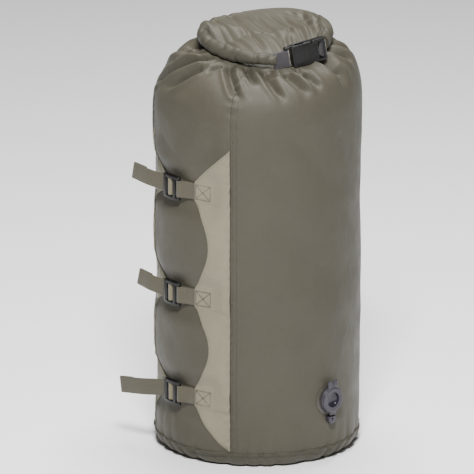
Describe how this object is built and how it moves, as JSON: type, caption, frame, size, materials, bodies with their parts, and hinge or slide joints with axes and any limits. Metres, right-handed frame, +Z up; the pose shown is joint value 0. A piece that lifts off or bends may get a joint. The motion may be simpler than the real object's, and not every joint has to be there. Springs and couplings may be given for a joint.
{
  "type": "stuff sack",
  "caption": "Cylindrical waterproof roll-top stuff sack with a side-release buckle closure, a scalloped side gusset drawn in by webbing straps with ladder locks, and a capped air valve.",
  "frame": {"origin": "centre of the flat base, on the surface that the sack stands on", "axes": "+Z up along the sack's long axis, -Y towards the front, which shows the strap panel, the closure buckle and the valve, +X towards the valve's side"},
  "size_m": [0.2846, 0.2462, 0.512],
  "materials": {
    "coated_cloth": "olive-grey coated ripstop nylon with a slight satin sheen",
    "pale_cloth": "pale grey-beige coated nylon, satin",
    "webbing": "woven olive-tan polyester webbing, ribbed",
    "seam_tape": "translucent grey welded seam tape",
    "stiffener_plastic": "black springy plastic strip",
    "buckle_plastic": "black moulded acetal with a fine grain",
    "valve_polymer": "grey-purple soft thermoplastic, satin to glossy"
  },
  "bodies": {
    "root": {"body_panel": "coated_cloth", "body_foot_front": "coated_cloth", "body_foot_valve": "coated_cloth", "body_foot_back": "coated_cloth", "shoulder_panel": "coated_cloth", "crown_panel": "coated_cloth", "gusset_panel": "coated_cloth", "gusset_shoulder": "coated_cloth", "base_panel": "coated_cloth", "base_seam_binding": "coated_cloth", "closure_roll": "coated_cloth", "front_seam_tape": "seam_tape", "side_seam_tape": "seam_tape", "front_strap_panel": "pale_cloth", "side_strap_panel": "pale_cloth", "mouth_stiffener": "stiffener_plastic", "closure_web_left": "webbing", "closure_tab_right": "webbing", "anchor_web_1": "webbing", "anchor_web_2": "webbing", "anchor_web_3": "webbing", "adjuster_web_1": "webbing", "adjuster_web_2": "webbing", "adjuster_web_3": "webbing", "buckle_socket": "buckle_plastic", "socket_face_outer": "buckle_plastic", "socket_face_inner": "buckle_plastic", "socket_cheek_upper": "buckle_plastic", "socket_cheek_lower": "buckle_plastic", "valve_flange": "valve_polymer", "valve_seat": "valve_polymer", "valve_lug": "valve_polymer"},
    "plug": {"buckle_plug": "buckle_plastic", "closure_web_right": "webbing"},
    "arm_upper": {"buckle_arm_upper": "buckle_plastic"},
    "arm_lower": {"buckle_arm_lower": "buckle_plastic"},
    "cap": {"valve_cap": "valve_polymer"},
    "flap": {"valve_flap": "valve_polymer"},
    "lock_1": {"ladder_lock_1": "buckle_plastic", "lock_wrap_1": "webbing"},
    "tail_1": {"pull_tail_1": "webbing"},
    "lock_2": {"ladder_lock_2": "buckle_plastic", "lock_wrap_2": "webbing"},
    "tail_2": {"pull_tail_2": "webbing"},
    "lock_3": {"ladder_lock_3": "buckle_plastic", "lock_wrap_3": "webbing"},
    "tail_3": {"pull_tail_3": "webbing"}
  },
  "joints": [
    {"name": "buckle_release", "type": "slide", "parent": "root", "child": "plug", "axis": [0.8951, 0.4174, 0.1564], "range_m": [0, 0.022]},
    {"name": "arm_upper_squeeze", "type": "hinge", "parent": "plug", "child": "arm_upper", "pos_m": [0.06099, -0.05844, 0.49806], "axis": [0.4226, -0.9063, 0], "range_deg": [0, 8], "stiffness_Nm_per_rad": 0.3},
    {"name": "arm_lower_squeeze", "type": "hinge", "parent": "plug", "child": "arm_lower", "pos_m": [0.06326, -0.05738, 0.48226], "axis": [-0.4226, 0.9063, 0], "range_deg": [0, 8], "stiffness_Nm_per_rad": 0.3},
    {"name": "lock_1_tilt", "type": "hinge", "parent": "root", "child": "lock_1", "pos_m": [-0.09117, -0.08156, 0.08], "axis": [0, 0, 1], "range_deg": [0, 45]},
    {"name": "lock_2_tilt", "type": "hinge", "parent": "root", "child": "lock_2", "pos_m": [-0.09117, -0.08156, 0.202], "axis": [0, 0, 1], "range_deg": [0, 45]},
    {"name": "lock_3_tilt", "type": "hinge", "parent": "root", "child": "lock_3", "pos_m": [-0.09117, -0.08156, 0.331], "axis": [0, 0, 1], "range_deg": [0, 45]},
    {"name": "tail_1_flex", "type": "hinge", "parent": "lock_1", "child": "tail_1", "pos_m": [-0.10623, -0.05913, 0.08], "axis": [0, 0, 1], "range_deg": [-12, 50]},
    {"name": "tail_2_flex", "type": "hinge", "parent": "lock_2", "child": "tail_2", "pos_m": [-0.10623, -0.05913, 0.202], "axis": [0, 0, 1], "range_deg": [-12, 50]},
    {"name": "tail_3_flex", "type": "hinge", "parent": "lock_3", "child": "tail_3", "pos_m": [-0.10623, -0.05913, 0.331], "axis": [0, 0, 1], "range_deg": [-12, 50]},
    {"name": "cap_open", "type": "hinge", "parent": "root", "child": "cap", "pos_m": [0.08864, -0.09276, 0.057], "axis": [0.723, 0.6909, 0], "range_deg": [0, 120]},
    {"name": "flap_open", "type": "hinge", "parent": "root", "child": "flap", "pos_m": [0.07876, -0.08242, 0.0885], "axis": [0.723, 0.6909, 0], "range_deg": [0, 30]}
  ]
}
